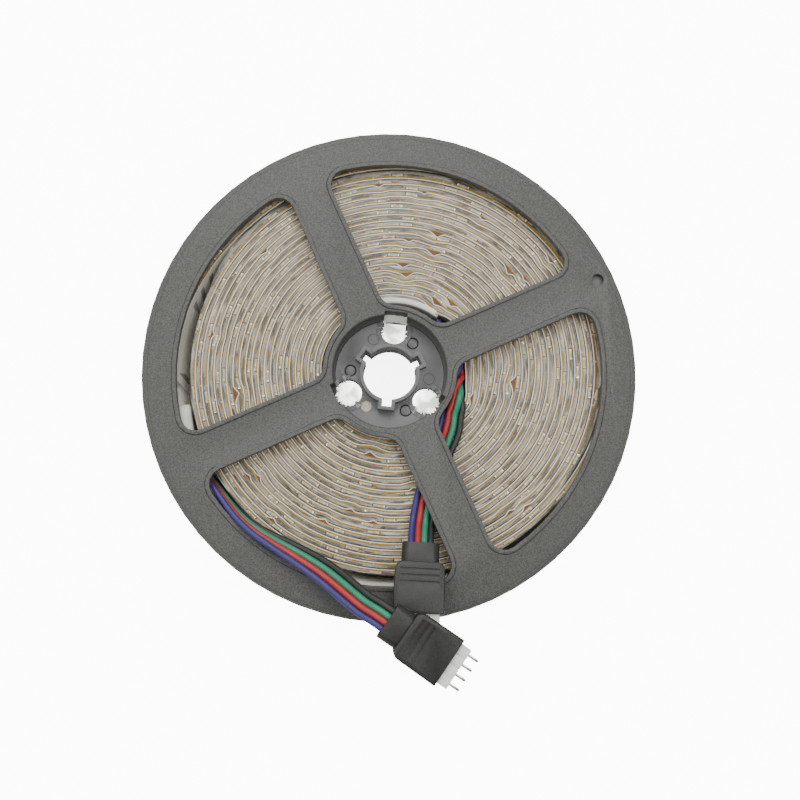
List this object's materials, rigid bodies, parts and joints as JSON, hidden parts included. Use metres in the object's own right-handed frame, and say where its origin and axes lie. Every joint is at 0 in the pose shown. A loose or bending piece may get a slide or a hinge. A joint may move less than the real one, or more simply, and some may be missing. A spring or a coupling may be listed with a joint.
{
  "type": "led strip light reel",
  "caption": "Plastic spool wound with a silicone-coated LED strip, with a coloured four-wire lead and pin plug at each end of the strip.",
  "frame": {"origin": "centre of the rear flange's outer face, on the reel's axis, at the level of its raised window beads", "axes": "+Z along the reel's axis, out of the front flange; +X along the spoke with the small rim hole; +Y along the next spoke anticlockwise"},
  "size_m": [0.12, 0.134, 0.03],
  "materials": {
    "spool_plastic": "fine moulded grain",
    "strip_silicone": "clear silicone over white backing",
    "white_sleeve": "satin",
    "wire_blue": "satin",
    "wire_red": "satin",
    "wire_green": "satin",
    "wire_black": "satin",
    "plug_rubber": "satin",
    "header_nylon": "natural nylon",
    "tinned_pin": "tinned"
  },
  "bodies": {
    "root": {"front_spool_half": "spool_plastic", "rear_spool_half": "spool_plastic", "led_strip_coil": "strip_silicone", "outer_end_sleeve": "white_sleeve", "inner_lead_blue_wire": "wire_blue", "inner_lead_red_wire": "wire_red", "inner_lead_green_wire": "wire_green", "inner_lead_black_wire": "wire_black", "outer_lead_blue_wire": "wire_blue", "outer_lead_red_wire": "wire_red", "outer_lead_green_wire": "wire_green", "outer_lead_black_wire": "wire_black", "inner_plug_sleeve": "plug_rubber", "inner_plug_shell": "plug_rubber", "inner_plug_header": "header_nylon", "inner_plug_pin_1": "tinned_pin", "inner_plug_pin_2": "tinned_pin", "inner_plug_pin_3": "tinned_pin", "inner_plug_pin_4": "tinned_pin", "outer_plug_sleeve": "plug_rubber", "outer_plug_shell": "plug_rubber", "outer_plug_header": "header_nylon", "outer_plug_pin_1": "tinned_pin", "outer_plug_pin_2": "tinned_pin", "outer_plug_pin_3": "tinned_pin", "outer_plug_pin_4": "tinned_pin"}
  },
  "joints": []
}
